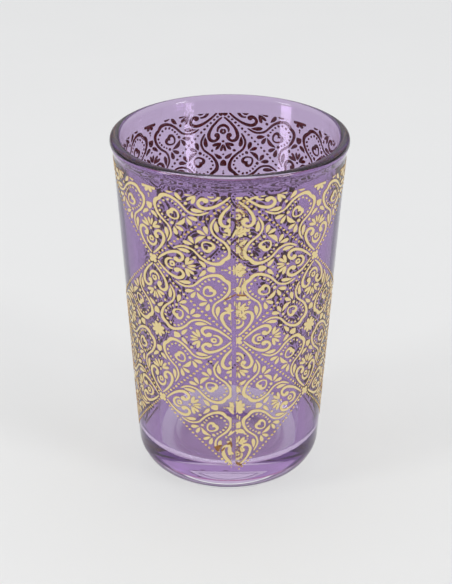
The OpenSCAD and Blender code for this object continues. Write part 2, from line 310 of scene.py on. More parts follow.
def purple_coat(tint, edge_tint, low_z, high_z):
    """Translucent lacquer: light that passes it takes its colour once, and light turned back inside it twice."""
    made = material("purple_coat")
    ragged = made.height() + (made.speckle(0.9, 3.0) - 0.5) * 0.5
    low_edge = 1 - ragged.between(low_z + 0.15, low_z + 0.55)
    high_edge = made.height().between(high_z - 0.24, high_z - 0.1)
    twice, edge_twice = ([c ** 2 for c in tone] for tone in (tint, edge_tint))
    tone = made.blend(low_edge + high_edge, twice, edge_twice)
    outside = made.add("ShaderNodeBsdfPrincipled", {
        "Base Color": tone, "Roughness": 0.0, "IOR": GLASS_IOR, "Transmission Weight": 1.0,
    })
    inside = made.mixed(
        made.add("ShaderNodeFresnel", {"IOR": GLASS_IOR}),
        made.add("ShaderNodeBsdfRefraction", {"Color": tint, "Roughness": 0.0, "IOR": GLASS_IOR}),
        made.add("ShaderNodeBsdfGlossy", {"Color": twice, "Roughness": 0.0}),
    )
    back = made.add("ShaderNodeNewGeometry", output="Backfacing")
    film = made.mixed(back, outside, inside)
    lit = made.add("ShaderNodeBsdfTransparent", {"Color": (0.95, 0.94, 0.955)})
    return made.close(made.mixed(made.table_light(), made.glow_for_lost_light(film), lit))


def gold_print(bright, dull, ground, worn_spots):
    """Bright gold over red-brown ink, thin in a mottle, darkened towards the top of the print by painted shade, and
    rubbed off in a few places.
    """
    made = material("gold_print")
    mottle = made.speckle(1.6, 3.0)
    grain = made.speckle(5.0, 2.0)
    # Painted shade: the gold is dulled more and more from 70 to 84 mm up
    painted_shade_above = made.height().between(70, 84) * 0.3
    dulled = (mottle.between(0.44, 0.66) * 0.5 + grain.between(0.46, 0.64) * 0.45 + painted_shade_above).clamped()
    tone = made.blend(dulled, bright, dull)
    worn = None
    for point, reach, strength in worn_spots:
        spot = made.near(point, reach) * strength
        worn = worn.most(spot) if worn else spot
    ragged = (made.speckle(1.6, 3.0) - 0.5) * 1.6
    rubbed = (worn * 1.3 + ragged - 0.35).between(0.0, 0.25)
    tone = made.blend(rubbed, tone, ground)
    relief = made.add("ShaderNodeBump", {"Strength": 0.6, "Distance": 0.05 * MM, "Height": made.speckle(2.6, 3.0)})
    return made.close(made.add("ShaderNodeBsdfPrincipled", {
        "Base Color": tone, "Metallic": 1 - rubbed * 0.8, "Roughness": 0.36 + mottle * 0.12 + rubbed * 0.2,
        "Normal": relief,
    }))


def ink(name, tone, metallic, roughness):
    """Red-brown ink, as it shows at the print's edges, where its dark tone is partly painted shade for the relief,
    and from inside the glass.
    """
    made = material(name)
    mottle = made.speckle(1.4, 3.0)
    return made.close(made.add("ShaderNodeBsdfPrincipled", {
        "Base Color": made.blend(mottle.between(0.35, 0.7), tone, [c * 0.6 for c in tone]),
        "Metallic": metallic, "Roughness": roughness + mottle * 0.1,
    }))


# The glass's outline, in millimetres

class Outline:
    """Radii and heights of the glass, from the sizes in the sidebar."""

    def __init__(self, scene):
        for name in GlassSizes.__annotations__:
            setattr(self, name, getattr(scene.glass_sizes, name) / MM)
        self.coat_lip = scene.glass_sizes.coat_lip
        self.rim_r = self.rim_d / 2
        self.lip_r = self.rim_t / 2
        self.lip_z = self.height - self.lip_r
        self.wall_top_r = self.rim_r - self.rim_proud
        self.taper = math.atan((self.wall_top_r - self.foot_d / 2) / self.height)
        self.swell_z = self.lip_z - self.swell_h
        self.heel_x = self.wall_r(self.heel_r) - self.heel_r / math.cos(self.taper)
        self.punt_r = self.heel_x - self.ring_w
        self.cavity_low_r = self.wall_r(self.base_t) - self.wall_low_t
        self.mouth_r = self.rim_r - self.rim_t
        self.cavity_taper = math.atan((self.mouth_r - self.cavity_low_r) / (self.lip_z - self.base_t))
        self.corner_x = self.cavity_r(self.base_t + self.floor_r) - self.floor_r / math.cos(self.cavity_taper)
        self.coat_low_z = self.heel_r - self.coat_reach
        self.coat_high_z = self.lip_z + self.lip_r * math.sin(self.coat_lip)
        self.heel_from = -math.asin(self.coat_reach / self.heel_r)

    def wall_r(self, z):
        """Radius of the straight outer wall at a height."""
        return self.foot_d / 2 + (self.wall_top_r - self.foot_d / 2) * z / self.height

    def cavity_r(self, z):
        """Radius of the straight inner wall at a height."""
        share = (z - self.base_t) / (self.lip_z - self.base_t)
        return self.cavity_low_r + (self.mouth_r - self.cavity_low_r) * share

    def coated(self, lift):
        """The coated stretch of the outer side, from the heel to the lip, off the glass by lift."""
        points = arc(self.heel_x, self.heel_r, self.heel_r + lift, self.heel_from, -self.taper, 16)
        reach = lift / math.cos(self.taper)
        foot = points[-1][1]
        points += [(self.wall_r(z) + reach, z) for z in spread(foot, self.swell_z, 60)[1:]]
        for z in spread(self.swell_z, self.lip_z, 16)[1:]:
            part = (z - self.swell_z) / self.swell_h
            swell = (self.rim_r - self.wall_r(self.lip_z)) * (1 - math.cos(math.pi * part)) / 2
            points.append((self.wall_r(z) + swell + lift, z))
        return points + arc(self.rim_r - self.lip_r, self.lip_z, self.lip_r + lift, 0, self.coat_lip, 8)[1:]


def arc(x, z, r, start, end, steps):
    """Points on an arc."""
    return [(x + r * math.cos(a), z + r * math.sin(a)) for a in spread(start, end, steps)]


def spread(first, last, steps):
    """Even steps from first to last, both included."""
    return [first + (last - first) * i / steps for i in range(steps + 1)]


def lathe(name, points, slot_of=lambda place: 0):
    """A body of revolution from (radius, height) points in millimetres. slot_of gives a stretch's material slot."""
    around = 288
    verts, faces, slots, rings = [], [], [], []
    for r, z in points:
        if r < 1e-6:
            rings.append([len(verts)] * around)
            verts.append((0, 0, z * MM))
            continue
        rings.append(range(len(verts), len(verts) + around))
        turns = spread(0, 2 * math.pi, around)[:-1]
        verts += [(r * MM * math.cos(a), r * MM * math.sin(a), z * MM) for a in turns]
    for place, (low, high) in enumerate(zip(rings, rings[1:])):
        for i in range(around):
            j = (i + 1) % around
            face = [low[i], low[j], high[j], high[i]]
            faces.append([v for k, v in enumerate(face) if v not in face[:k]])
            slots.append(slot_of(place))
    return piece(name, verts, faces, slots, [True] * len(faces))


def piece(name, verts, faces, slots, smooth):
    """A new mesh object with a material slot and a shading for each face."""
    mesh = bpy.data.meshes.new(name)
    mesh.from_pydata(verts, [], faces)
    mesh.polygons.foreach_set("material_index", slots)
    mesh.polygons.foreach_set("use_smooth", smooth)
    mesh.validate()
    mesh.update()
    return placed(name, mesh)


def placed(name, data):
    """A new object in the scene."""
    made = bpy.data.objects.new(name, data)
    bpy.context.scene.collection.objects.link(made)
    return made


def dress(made, materials, node):
    """Gives a piece its materials, hangs it under the root body, and hides the imported solid that it stands for."""
    for m in materials:
        made.data.materials.append(m)
    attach(made, "root")
    if node:
        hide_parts(node)
    return made


# The print's motifs, in millimetres of a sheet whose rows of crossings lie 21.25 mm apart.
# A line is a row of (along, aside, width), a dot (along, aside, radius), and an outline a row of (along, aside).
# A leaf is (root along, root aside, tip along, tip aside, width), and may have a bend.
SHEET_ROW = 21.25
SIDE_AWAY = SHEET_ROW / math.sqrt(2)
# How much wider than drawn a line comes out in print
SPREAD = 0.14

# From a lozenge's corner towards its middle
HEART = (
    (1.75, 0.42, 0.38), (2.3, 1.05, 0.46), (3.2, 1.88, 0.54), (4.5, 2.88, 0.62), (5.85, 3.55, 0.74),
    (7.1, 3.8, 0.82), (8.12, 3.48, 0.82), (8.62, 2.76, 0.76), (8.56, 2.05, 0.68), (8.05, 1.46, 0.74),
    (7.45, 1.34, 1.0), (6.98, 1.6, 1.3),
)
BOW = ((5.8, 1.45, 0.32), (5.3, 1.45, 0.46), (4.72, 1.22, 0.58), (4.2, 0.68, 0.68), (4.02, 0, 0.74))
RING_AT, RING_R, RING_EYE = 5.8, 0.8, 0.25
FAN_DOT = (8.8, 0, 0.38)
FAN_PETALS = (
    (9.25, 0.45, 10.05, 2.9, 0.86), (9.45, 0.48, 11.3, 2.05, 0.74), (9.62, 0.12, 11.82, 0.62, 0.64),
)
FAN_TIPS = ((11.5, 2.95, 0.42), (12.75, 0, 0.3))
END_LEAF = (7.28, 4.78, 10.4, 4.45, 1.0, 0.1)
DROP_LEAF = (12.42, 2.35, 14.02, 0.42, 0.96, 0.12)
BUD = ((14.34, 0.0), (14.52, 0.42), (15.05, 0.8), (15.9, 0.9), (16.22, 0.68), (16.28, 0.0))

# From the middle of a lozenge's side inwards, and along the side
SCROLL = (
    (0, 10.82, 0.8), (0.75, 10.95, 0.94), (1.48, 10.9, 0.98), (2.2, 10.5, 0.86), (2.9, 9.62, 0.74), (3.38, 8.4, 0.64),
    (3.58, 7.0, 0.56), (3.5, 5.6, 0.5), (3.46, 4.3, 0.48), (3.85, 3.16, 0.5), (4.65, 2.1, 0.52), (5.6, 1.55, 0.5),
    (6.4, 1.3, 0.42), (6.95, 1.15, 0.3),
)
SCROLL_DOTS = (
    (0.66, 9.66, 0.33), (1.8, 9.26, 0.34), (2.42, 8.28, 0.34), (2.6, 7.22, 0.33), (2.56, 6.16, 0.31), (2.4, 5.2, 0.3),
    (2.1, 4.1, 0.46),
)
SEED_AT = 5.6
SEED = ((0, 1.5), (0.75, 1.62), (1.42, 1.2), (1.66, 0.35), (1.38, -0.6), (0.72, -1.4), (0, -1.68))
SEED_EYE = ((0, 0.02), (0.42, 0.52), (0.86, 0.5), (0.98, 0.05), (0.8, -0.5), (0.42, -0.95), (0, -1.16))
CRESCENT = ((0, 2.8, 1.06), (0.45, 2.86, 0.94), (0.9, 3.0, 0.66), (1.35, 3.16, 0.34), (1.68, 3.26, 0.06))
SPRAY = ((1.98, 3.1, 1.36, 0.86, 0.92), (2.42, 3.12, 3.64, 1.04, 1.04))

# About a crossing, and about the middle of a lozenge: lobes as leaves, dots as (away, radius)
STAR_LOBE = (-0.1, 0, 1.4, 0, 1.15)
ROSETTE_LOBE, ROSETTE_R = (0.15, 0, 2.24, 0, 1.0), 0.95
ROSETTE_DOTS = ((2.72, 0.32), (3.4, 0.24))

# Along the borders: radius of a dot, and the share of a side that is bare at each end
BORDER_DOT_R, BORDER_BARE = 0.34, 0.067

# How far the sheet lies out of true, in millimetres aside and up: rows from the top down, and places to the right
PULL_TOP, PULL_ROW, PULL_PLACE = 92, 20, 27
PULL_ASIDE = (
    (-0.21, -0.1, -0.01, -0.37, -0.34), (0.15, -0.27, 0.11, 0.18, -0.25), (-0.01, 0.15, 0.45, -0.01, -0.01),
    (0.13, -0.1, 0.57, 0.54, 0.35), (0.19, 0.2, 0.62, 0.46, 0.46),
)
PULL_UP = (
    (-0.21, 0.02, 0.02, 0.11, -0.48), (-0.1, 0.09, 0.02, 0.04, -0.26), (-0.31, -0.14, -0.08, 0.03, -0.23),
    (-1.06, -0.59, -0.25, -0.09, -0.41), (-0.73, -0.31, -0.38, 0.0, 0.08),
)

# The strip where the sheet's two ends meet: gold strokes as (angle, height, angle, height, width), and dots as
# (angle, height, width)
SEAM_GOLD = (
    (1.0, 90.8, 0.34), (1.7, 89.7, 0.34), (1.5, 88.8, 0.3), (1.7, 87.5, 0.42), (-2.2, 83.6, -0.6, 84.2, 0.36),
    (-0.6, 84.2, 0.5, 83.1, 0.34), (-2.5, 82.5, -1.0, 82.3, 0.5), (-0.5, 83.7, -0.1, 82.4, 0.42),
    (3.2, 83.6, 1.6, 81.7, 0.52), (4.4, 84.3, 4.3, 82.3, 0.62), (5.6, 84.5, 5.8, 82.0, 0.7),
    (7.3, 84.1, 7.0, 82.7, 0.5), (8.5, 83.6, 9.6, 83.8, 0.45), (9.6, 82.7, 0.55), (4.4, 81.2, 4.2, 80.2, 0.2),
    (4.6, 77.4, 5.1, 76.5, 0.2), (5.0, 76.6, 6.9, 75.4, 0.3), (6.8, 81.3, 7.0, 80.3, 0.16),
    (7.1, 78.5, 8.3, 75.4, 0.3), (1.8, 79.7, 0.4), (2.2, 78.1, 0.4), (5.6, 73.5, 1.2), (6.5, 71.7, 1.3),
    (2.2, 73.5, 2.4, 71.2, 0.36), (3.2, 73.1, 3.3, 71.4, 0.34), (1.6, 72.3, 2.8, 72.3, 0.34), (-1.0, 72.3, 0.4),
    (0.2, 73.0, 0.4), (0.1, 71.6, 0.36), (6.2, 69.9, 4.7, 67.4, 0.34), (4.7, 67.6, 4.6, 65.2, 0.34),
    (7.4, 69.9, 8.4, 66.4, 0.3), (6.5, 67.8, 6.6, 65.2, 0.4), (1.9, 66.9, 3.0, 67.0, 0.26),
    (2.7, 66.4, 4.3, 66.4, 0.3), (4.7, 64.0, 9.9, 63.9, 0.55), (5.4, 64.5, 8.4, 64.4, 0.5),
    (5.2, 61.6, 5.6, 59.0, 0.8), (7.1, 62.0, 7.2, 60.2, 0.6), (3.9, 60.8, 4.2, 59.0, 0.4), (9.9, 62.3, 0.5),
    (2.8, 63.2, 2.8, 62.2, 0.32), (0.3, 62.3, 0.2, 60.7, 0.6), (-1.9, 61.2, -0.2, 60.6, 0.55),
    (1.8, 60.8, 0.6, 60.5, 0.5), (1.0, 32.4, 2.5, 31.4, 0.75), (-0.5, 30.8, 1.3, 30.8, 0.6),
    (0.7, 30.3, 2.5, 29.1, 0.75), (2.3, 32.4, 2.4, 29.0, 0.4), (4.4, 32.7, 5.8, 31.6, 0.7),
    (6.6, 32.8, 6.2, 31.5, 0.9), (8.3, 31.9, 6.5, 31.2, 0.7), (6.2, 31.0, 7.2, 29.4, 0.9),
    (5.2, 30.8, 6.6, 30.4, 0.7), (6.2, 28.0, 6.2, 27.1, 0.36), (6.2, 26.1, 6.2, 24.6, 0.8), (2.6, 25.7, 0.4),
    (2.7, 24.8, 0.4), (4.0, 25.4, 0.32), (4.9, 23.5, 8.6, 22.9, 1.1), (9.2, 22.4, 10.4, 22.2, 0.4),
    (3.1, 23.3, 0.0, 22.0, 0.56), (4.6, 19.6, 5.3, 20.3, 0.36), (6.2, 19.4, 6.3, 20.9, 0.4),
    (7.5, 19.4, 7.4, 20.3, 0.36), (8.4, 19.6, 9.2, 20.8, 0.36), (9.6, 19.7, 10.6, 20.0, 0.36), (11.2, 20.6, 0.45),
    (6.2, 19.4, 9.0, 18.9, 0.5), (-0.4, 18.3, 1.2, 18.3, 0.45), (0.6, 17.7, 0.8, 15.9, 1.0),
    (1.3, 16.4, 2.4, 16.0, 0.8), (-3.6, 15.9, -1.2, 13.8, 0.6), (-1.4, 13.9, 1.9, 12.6, 0.5), (1.4, 14.7, 0.36),
    (1.9, 14.1, 0.32), (6.4, 10.9, 0.55), (8.0, 91.2, 10.5, 92.3, 0.5), (10.2, 92.0, 13.0, 92.6, 0.42),
    (7.8, 86.6, 8.6, 86.1, 0.8),
)
# The same for strokes that lost their gold
SEAM_BARE = (
    (-2.0, 63.8, 1.2, 64.7, 0.34), (1.2, 64.7, 3.0, 65.3, 0.3), (4.2, 65.2, 8.2, 64.9, 0.5),
    (-0.2, 19.1, 1.3, 19.9, 0.5), (1.3, 19.8, 1.8, 18.3, 0.5), (-7.7, 17.9, -4.3, 18.6, 0.8),
    (-7.0, 17.3, -5.1, 17.8, 0.7), (-6.5, 16.8, -5.8, 17.1, 0.5), (-3.9, 16.9, -2.2, 17.9, 0.5),
    (5.2, 12.7, 7.4, 12.2, 0.7), (6.3, 20.1, 6.3, 20.7, 0.3), (5.5, 18.2, 6.4, 18.0, 0.3),
)
# Where the gold is broken into flecks: lowest and highest angle, lowest and highest place, and share of flecks left
SEAM_RUBBED = (
    (3.4, 6.2, 84.9, 91.6, 0.9), (6.2, 8.4, 87.6, 92.3, 0.7), (3.8, 8.6, 82.2, 84.8, 0.6),
    (3.6, 7.4, 76.6, 81.4, 0.9), (5.8, 8.8, 75.2, 79.2, 0.85), (4.4, 7.8, 70.8, 74.2, 0.7),
    (5.0, 8.4, 64.8, 69.6, 0.7), (3.4, 8.6, 57.6, 62.4, 0.75), (4.5, 8.5, 42.0, 47.5, 0.6),
    (5.2, 7.6, 35.0, 40.0, 0.6), (4.3, 7.9, 12.6, 18.7, 0.85),
)

# Rubbed places elsewhere: angle, height, reach in millimetres, and strength
WORN_SPOTS = (
    (-17.3, 52.6, 1.3, 1.0), (-11, 53.4, 1.2, 1.0), (6, 65.2, 2.4, 0.8), (-9, 69.5, 3.0, 0.35), (-6, 62.5, 3.2, 0.5),
    (-2.5, 17.6, 1.8, 0.8), (6, 19.6, 2.2, 0.7), (6.4, 12.4, 1.8, 0.9), (-17, 39, 2.6, 0.5), (22, 53, 1.2, 0.6),
    (24, 22, 2.4, 0.45),
)

# Half widths of a leaf from its pointed root to its blunt tip, as shares of its length and width
LEAF = (
    (0, 0.03), (0.12, 0.2), (0.28, 0.36), (0.45, 0.46), (0.62, 0.5), (0.76, 0.48), (0.88, 0.38), (0.96, 0.22),
    (1, 0.04),
)


def smooth_line(points, steps=5):
    """A line through the points with more between them, on a Catmull-Rom curve."""
    made = []
    last = len(points) - 1
    for i in range(last):
        a, b, c, d = (points[max(0, min(last, k))] for k in (i - 1, i, i + 1, i + 2))
        for s in range(steps):
            t = s / steps
            made.append(tuple(
                0.5 * (2 * q + (r - p) * t + (2 * p - 5 * q + 4 * r - s_) * t * t + (3 * q - p - 3 * r + s_) * t ** 3)
                for p, q, r, s_ in zip(a, b, c, d)
            ))
    return made + [tuple(points[-1])]


def whole(line):
    """A line that is drawn from its middle to one end, with its mirror image before it."""
    return tuple((-x, y, w) for x, y, w in line[:0:-1]) + line


def ribbon(points):
    """The two edges of a drawn line with round ends."""
    points = [(x, y, w + SPREAD) for x, y, w in smooth_line(points)]
    ends = []
    for here, inner in ((points[0], points[1]), (points[-1], points[-2])):
        run = Vector(here[:2]) - Vector(inner[:2])
        run.normalize()
        r = here[2] / 2
        ends.append([(here[0] + run.x * r * s, here[1] + run.y * r * s, here[2] * (1 - s * s) ** 0.5 + 0.02)
                     for s in (0.98, 0.9, 0.72, 0.42)])
    points = ends[0] + points + ends[1][::-1]
    left, right = [], []
    for i, (x, y, w) in enumerate(points):
        before, after = points[max(i - 1, 0)], points[min(i + 1, len(points) - 1)]
        run = Vector((after[0] - before[0], after[1] - before[1]))
        run.normalize()
        left.append((x - run.y * w / 2, y + run.x * w / 2))
        right.append((x + run.y * w / 2, y - run.x * w / 2))
    return left, right


def leaf(root_x, root_y, tip_x, tip_y, width, bend=0.0):
    """The two edges of a leaf from its pointed root to its blunt tip."""
    run = Vector((tip_x - root_x, tip_y - root_y))
    width += SPREAD
    across = Vector((-run.y, run.x)).normalized()
    middle = [Vector((root_x, root_y)) + run * s + across * bend * math.sin(math.pi * s) for s, w in LEAF]
    left = [tuple(p + across * w * width) for p, (s, w) in zip(middle, LEAF)]
    right = [tuple(p - across * w * width) for p, (s, w) in zip(middle, LEAF)]
    return left, right


def both(edges, x_way=1, y_way=-1):
    """A pair of edges and its mirror image, across the way in from a corner or, with -1 and 1, along a side."""
    left, right = edges
    return [edges, [[(x * x_way, y * y_way) for x, y in edge] for edge in (right, left)]]


class Sheet:
    """The printed sheet: it lays islands on the glass and keeps them as one mesh."""

    def __init__(self, scene):
        sizes = scene.print_sizes
        self.shape = shape = Outline(scene)
        self.rows = 4
        self.columns = 2 * sizes.lozenges
        self.top = shape.swell_z - sizes.drop / MM
        self.crossing_top = self.top + sizes.rise / MM
        self.row_h = (self.crossing_top - sizes.low / MM) / self.rows
        self.column_a = 2 * math.pi / self.columns
        self.first_a = sizes.seam_turn - math.pi / 2
        # The sheet's right end laps over its axis by a hair
        self.low_u = -0.016
        self.high_u = self.columns - sizes.bare / self.column_a
        # The waver is the same each time
        noise.seed_set(1)
        self.waver = sizes.waver / MM
        self.under = shape.coat_t * 0.5
        # How far an island's upper face stands in from its rim
        self.slope = 0.055
        self.over = shape.coat_t + sizes.thickness / MM
        self.verts, self.faces, self.slots, self.smooth = [], [], [], []
        self.dots = sizes.border_dots
        ornate = [(u, 1) for u in range(0, self.columns + 1, 4)]
        ornate += [(u, 2) for u in range(1, self.columns, 2)]
        ornate += [(u, 3) for u in range(0, self.columns + 1, 2) if u != sizes.lozenges]
        self.lozenges = [(u, 0) for u in range(1, self.columns, 2)] + ornate

    def point(self, u, v, lift):
        """The point of column u and row v on the glass, in metres."""
        z = self.crossing_top - v * self.row_h
        a = self.first_a + u * self.column_a
        aside, up = self.pull(a, z)
        a, z = a + aside / self.shape.wall_r(z), min(z + up, self.top)
        r = self.shape.wall_r(z) + lift / math.cos(self.shape.taper)
        return (r * MM * math.cos(a), r * MM * math.sin(a), z * MM)

    def pull(self, a, z):
        """How far the sheet lies aside and up from its true place, at an angle and a height."""
        turn = math.degrees(math.remainder(a + math.pi / 2, 2 * math.pi))
        last = len(PULL_UP) - 1.001
        across = min(max(turn / PULL_PLACE + 2, 0), last)
        down = min(max((PULL_TOP - z) / PULL_ROW, 0), last)
        fade = min(max((100 - abs(turn)) / 30, 0), 1)
        i, j, s, t = int(down), int(across), down % 1, across % 1
        found = []
        for p in (PULL_ASIDE, PULL_UP):
            upper, lower = (p[k][j] * (1 - t) + p[k][j + 1] * t for k in (i, i + 1))
            found.append(fade * (upper * (1 - s) + lower * s))
        return found

    def held(self, x, y):
        """A sheet point in millimetres, wavered and held inside the cut sheet, as column and row."""
        k = self.row_h
        sway = noise.noise_vector(Vector((x * 0.75, y * 0.75, 3.1)))
        u = (x + sway.x * self.waver) / k
        v = (y + sway.y * self.waver) / k
        top = (self.crossing_top - self.top) / k
        return min(max(u, self.low_u), self.high_u), max(v, top)

    def island(self, lozenge, turn, left, right, closed=False, top=0):
        """One island between two edges that are drawn about the lozenge's middle. top is its upper face's slot."""
        c, s = math.cos(turn), math.sin(turn)
        scale = self.row_h / SHEET_ROW
        u, v = (part * self.row_h for part in lozenge)
        rims = []
        for edge in (left, right):
            placed = [(x * scale, y * scale) for x, y in edge]
            rims.append([self.held(u + x * c - y * s, v - x * s - y * c) for x, y in placed])
        if any(max(along) - min(along) < 1e-4 for along in zip(*rims[0], *rims[1])):
            return
        start, count = len(self.verts), len(rims[0])
        tops = [[], []]
        for here, there in zip(*rims):
            share = min(self.slope / (math.dist(here, there) * self.row_h + 1e-9), 0.36)
            tops[0].append([p + (q - p) * share for p, q in zip(here, there)])
            tops[1].append([q + (p - q) * share for p, q in zip(here, there)])
        for edge in range(2):
            for high, low in zip(tops, rims):
                self.verts.extend(self.point(u, v, self.over) for u, v in high)
                self.verts.extend(self.point(u, v, self.under) for u, v in low)
        a_top, a_low, b_top, b_low, a_high, a_deep, b_high, b_deep = (start + k * count for k in range(8))
        for i in range(count if closed else count - 1):
            j = (i + 1) % count
            self.face((a_top + i, b_top + i, b_top + j, a_top + j), top, True)
            self.face((a_low + i, a_low + j, b_low + j, b_low + i), 2, True)
            # The sloped rims take the edge ink, which is partly painted shade for the relief
            self.face((a_high + i, a_high + j, a_deep + j, a_deep + i), 1, False)
            self.face((b_high + i, b_deep + i, b_deep + j, b_high + j), 1, False)
        if not closed:
            last = count - 1
            self.face((a_high, a_deep, b_deep, b_high), 1, False)
            self.face((a_high + last, b_high + last, b_deep + last, a_deep + last), 1, False)

    def face(self, corners, slot, smooth):
        """One face, with its slot and whether it is shaded smooth."""
        self.faces.append(corners)
        self.slots.append(slot)
        self.smooth.append(smooth)

    def dot(self, lozenge, turn, x, y, r, chance=None):
        """A round island, a little uneven where chance is given."""
        squash = 1.0 if chance is None else chance.uniform(0.86, 1.12)
        r = r if chance is None else r * chance.uniform(0.9, 1.1)
        sides = 12
        upper = [(x - r * squash * math.cos(math.pi * i / sides), y + r * math.sin(math.pi * i / sides) / squash)
                 for i in range(sides + 1)]
        lower = [(p, 2 * y - q) for p, q in upper]
        self.island(lozenge, turn, upper, lower)

    def at_corners(self, shapes):
        """Lays shapes drawn from a corner at all four corners of every ornate lozenge."""
        self.lay(shapes, -SHEET_ROW, 0, 0)

    def at_sides(self, shapes, closed=False):
        """Lays shapes drawn in from a side at all four sides of every ornate lozenge."""
        self.lay(shapes, 0, -SIDE_AWAY, 0.5, closed)

    def lay(self, shapes, x_away, y_away, turned, closed=False):
        """Lays shapes four times round each ornate lozenge, moved so that they are drawn about its middle."""
        shapes = [[[(x + x_away, y + y_away) for x, y in edge] for edge in edges] for edges in shapes]
        for lozenge in self.lozenges:
            for turn in range(4):
                for edges in shapes:
                    self.island(lozenge, (turn + turned) * math.pi / 2, *edges, closed)

    def dots_round(self, lozenge, places, turned, chance):
        """Lays dots, given about the middle of a lozenge, four times round it."""
        for turn in range(4):
            for x, y, r in places:
                self.dot(lozenge, (turn + turned) * math.pi / 2, x, y, r, chance)

    def finish(self, motif, solid=True):
        """The sheet's islands so far as a piece, which stands for the solid of that motif if there is one."""
        made = piece("print_" + motif, self.verts, self.faces, self.slots, self.smooth)
        return dress(made, print_materials(self), "gold_" + motif if solid else None)


def print_materials(sheet):
    """Gold on top, red-brown ink at the edges, darker there partly as painted shade for the print's relief, and the
    ink as it looks from inside.
    """
    found = [bpy.data.materials.get(name) for name in ("gold_print", "ink_and_shade_edge", "ink_underside")]
    if all(found):
        return found
    tones = bpy.context.scene.finishes

    spots = []
    for angle, z, reach, strength in WORN_SPOTS:
        a, r = math.radians(angle - 90), sheet.shape.wall_r(z)
        spots.append(((r * math.cos(a), r * math.sin(a), z), reach, strength))
    return [
        gold_print(tones.gold, tones.dull_and_shaded_gold, tones.ground, spots),
        ink("ink_and_shade_edge", list(tones.edge), 0.6, 0.4),
        ink("ink_underside", list(tones.underside), 0.3, 0.35),
    ]


# Operators

class TEAGLASS_OT_tumbler(bpy.types.Operator):
    """Make the pressed clear glass"""

    bl_idname = "teaglass.tumbler"
    bl_label = "Glass"

    def execute(self, context):
        shape = Outline(context.scene)
        fillet = 0.35
        ball = (shape.punt_r ** 2 + shape.punt_h ** 2) / (2 * shape.punt_h)
        punt = arc(0, shape.punt_h - ball, ball, math.pi / 2, math.pi / 2 - math.asin(shape.punt_r / ball), 24)
        punt[0] = (0, shape.punt_h)
        x, z = punt[-2]
        punt = punt[:-1] + [(shape.punt_r - fillet * 0.35, fillet * 0.12), (shape.punt_r + fillet * 0.3, 0)]
        heel = arc(shape.heel_x, shape.heel_r, shape.heel_r, -math.pi / 2, shape.heel_from, 16)[:-1]
        outer = shape.coated(0)
        lip = arc(shape.rim_r - shape.lip_r, shape.lip_z, shape.lip_r, shape.coat_lip, math.pi, 24)[1:]
        corner_z = shape.base_t + shape.floor_r
        straight = [(shape.cavity_r(z), z) for z in spread(shape.lip_z, corner_z, 60)[1:]]
        corner = arc(shape.corner_x, corner_z, shape.floor_r, -shape.cavity_taper, -math.pi / 2, 24)
        mark = [(15.9, 0), (15.6, 0.3), (15.1, 0.36), (14.6, 0)]
        floor = [(r, shape.base_t + rise) for r, rise in mark] + [(r, shape.base_t) for r in spread(13.5, 0, 8)]
        low = len(punt + heel)
        high = low + len(outer) - 1
        points = punt + heel + outer + lip + straight + corner + floor
        made = lathe("tumbler", points, lambda place: int(low <= place < high))
        tones = context.scene.finishes
        dress(made, [clear_glass(list(tones.glass)), bonded_face()], "glass_body")
        return {"FINISHED"}


class TEAGLASS_OT_coat(bpy.types.Operator):
    """Make the thin purple coat on the outside"""

    bl_idname = "teaglass.coat"
    bl_label = "Purple coat"

    def execute(self, context):
        shape = Outline(context.scene)
        skin = shape.coated(shape.coat_t)
        bond = shape.coated(shape.coat_t * 0.1)
        made = lathe("purple_coat", bond[:1] + skin + bond[-1:])
        tones = context.scene.finishes
        film = purple_coat(list(tones.coat), list(tones.coat_edge), shape.coat_low_z, shape.coat_high_z)
        dress(made, [film], "colour_coat")
        return {"FINISHED"}


class TEAGLASS_OT_lattice(bpy.types.Operator):
    """Lay the dotted borders of the lozenges and the stars at their crossings"""

    bl_idname = "teaglass.lattice"
    bl_label = "Borders and stars"

    def execute(self, context):
        chance = random.Random(11)
        sheet = Sheet(context.scene)
        for v in range(sheet.rows):
            for u in range(sheet.columns):
                for i in range(sheet.dots):
                    share = BORDER_BARE + (1 - 2 * BORDER_BARE) * i / (sheet.dots - 1)
                    rise = share if (u + v) % 2 == 0 else 1 - share
                    x = share * SHEET_ROW + chance.uniform(-0.05, 0.05)
                    y = -rise * SHEET_ROW + chance.uniform(-0.05, 0.05)
                    if sheet.crossing_top - (v + rise) * sheet.row_h < sheet.top - 0.3:
                        sheet.dot((u, v), 0, x, y, BORDER_DOT_R, chance)
        sheet.finish("border_dots")
        sheet = Sheet(context.scene)
        for v in range(sheet.rows):
            for u in range(sheet.columns + 1):
                if (u + v) % 2 == 0:
                    for turn in range(4):
                        sheet.island((u, v), (turn + 0.5) * math.pi / 2, *leaf(*STAR_LOBE))
        sheet.finish("stars")
        return {"FINISHED"}


class TEAGLASS_OT_hearts(bpy.types.Operator):
    """Lay the hearts at the corners of the lozenges, with the bow and the ring in each"""

    bl_idname = "teaglass.hearts"
    bl_label = "Hearts"

    def execute(self, context):
        sheet = Sheet(context.scene)
        sheet.at_corners(both(ribbon(HEART)))
        sheet.finish("hearts")
        sheet = Sheet(context.scene)
        sheet.at_corners([ribbon(BOW + tuple((x, -y, w) for x, y, w in BOW[-2::-1]))])
        sheet.finish("heart_bows")
        sheet = Sheet(context.scene)
        middle_r = (RING_R + RING_EYE) / 2
        band = RING_R - RING_EYE
        turns = [math.radians(a) for a in range(215, 506, 29)]
        ring = [(RING_AT + middle_r * math.cos(a), middle_r * math.sin(a), band * (1.05 if i > 3 else 0.8))
                for i, a in enumerate(turns)]
        sheet.at_corners([ribbon(ring)])
        sheet.finish("heart_rings")
        return {"FINISHED"}


